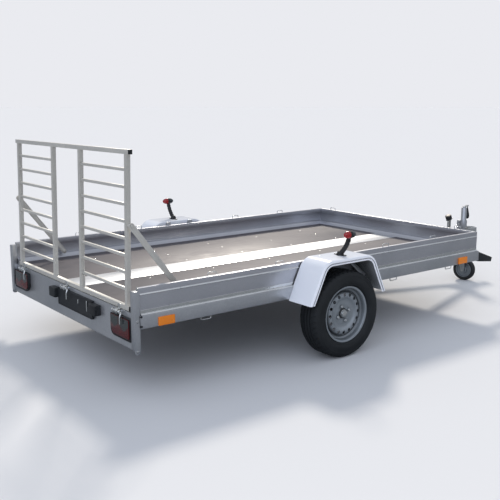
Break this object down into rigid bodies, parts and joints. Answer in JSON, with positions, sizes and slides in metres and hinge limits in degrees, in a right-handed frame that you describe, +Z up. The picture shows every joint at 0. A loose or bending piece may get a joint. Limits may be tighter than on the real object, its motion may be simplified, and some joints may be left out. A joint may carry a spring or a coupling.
{
  "type": "utility trailer",
  "caption": "Single-axle utility trailer with low sheet sides, a fold-down ladder gate with struts, white fenders, a V drawbar and a jockey wheel.",
  "frame": {"origin": "on the ground, midway along the overall length and across the fenders", "axes": "+X forward to the coupling, +Y to the trailer's left, +Z up"},
  "size_m": [4.236, 2.19, 1.3491],
  "materials": {
    "zinc_frame": "hot-dip galvanised, dull spangle",
    "zinc_sheet": "rolled galvanised sheet, satin",
    "floor_film": "film-faced plywood, worn",
    "floor_metal": "plain sheet, satin",
    "tyre": "black, matt",
    "rim_silver": "silver paint, satin",
    "hub_metal": "dark, dull",
    "fender_white": "white, satin gloss",
    "black_rubber": "black, matt",
    "black_plastic": "black, matt",
    "lamp_red": "red lens, gloss",
    "reflector_orange": "orange reflector, gloss",
    "zinc_bright": "zinc plated, bright"
  },
  "bodies": {
    "chassis": {"side_rails": "zinc_frame", "front_rail": "zinc_frame", "cross_members": "zinc_frame", "side_panel_left": "zinc_sheet", "side_panel_right": "zinc_sheet", "front_panel": "zinc_sheet", "floor_boards": "floor_film", "floor_strip": "floor_metal", "end_posts": "zinc_frame", "rear_beam": "zinc_frame", "tail_lamps": "lamp_red", "plate_holder": "black_plastic", "hinge_lugs": "zinc_bright", "strut_studs": "zinc_bright", "axle": "zinc_frame", "fender_left": "fender_white", "fender_right": "fender_white", "fender_brackets": "zinc_frame", "marker_arms": "black_rubber", "marker_lamps": "lamp_red", "side_reflectors": "reflector_orange", "rail_caps": "black_plastic", "lashing_loops_left": "zinc_bright", "lashing_loops_right": "zinc_bright", "lashing_loops_front": "zinc_bright", "rope_hooks": "zinc_bright", "drawbar": "zinc_frame", "coupling_head": "zinc_bright", "coupling_handle": "zinc_bright", "plug_bracket": "zinc_bright", "plug_holder": "black_plastic", "jockey_clamp": "zinc_frame", "jockey_crank": "zinc_bright", "jockey_grip": "black_plastic"},
    "wheel_left": {"tyre_left": "tyre", "rim_left": "rim_silver", "hub_left": "hub_metal"},
    "wheel_right": {"tyre_right": "tyre", "rim_right": "rim_silver", "hub_right": "hub_metal"},
    "gate": {"gate_frame": "zinc_frame", "gate_rungs": "zinc_frame", "gate_caps": "black_plastic", "gate_straps": "zinc_bright"},
    "strut_left": {"strut_left": "zinc_frame"},
    "strut_right": {"strut_right": "zinc_frame"},
    "jockey_leg": {"jockey_leg": "zinc_bright"},
    "jockey_fork": {"jockey_fork": "zinc_bright"},
    "jockey_wheel": {"jockey_rim": "black_plastic", "jockey_tyre": "black_rubber"}
  },
  "joints": [
    {"name": "wheel_left_spin", "type": "hinge", "parent": "chassis", "child": "wheel_left", "pos_m": [-0.686, 1.001, 0.2806], "axis": [0, 1, 0], "continuous": true},
    {"name": "wheel_right_spin", "type": "hinge", "parent": "chassis", "child": "wheel_right", "pos_m": [-0.686, -1.001, 0.2806], "axis": [0, 1, 0], "continuous": true},
    {"name": "gate_fold", "type": "hinge", "parent": "chassis", "child": "gate", "pos_m": [-2.1, 0, 0.462], "axis": [0, -1, 0], "range_deg": [0, 122]},
    {"name": "strut_left_swing", "type": "hinge", "parent": "gate", "child": "strut_left", "pos_m": [-2.05236, 0.7975, 0.94388], "axis": [0, -1, 0], "range_deg": [0, 100]},
    {"name": "strut_right_swing", "type": "hinge", "parent": "gate", "child": "strut_right", "pos_m": [-2.05236, -0.7975, 0.94388], "axis": [0, -1, 0], "range_deg": [0, 100]},
    {"name": "jockey_wind", "type": "slide", "parent": "chassis", "child": "jockey_leg", "axis": [0, 0, 1], "range_m": [0, 0.1]},
    {"name": "jockey_swivel", "type": "hinge", "parent": "jockey_leg", "child": "jockey_fork", "pos_m": [1.717, -0.16111, 0.222], "axis": [0, 0, 1], "continuous": true},
    {"name": "jockey_roll", "type": "hinge", "parent": "jockey_fork", "child": "jockey_wheel", "pos_m": [1.72527, -0.18995, 0.1], "axis": [-0.9613, -0.2756, 0], "continuous": true}
  ]
}
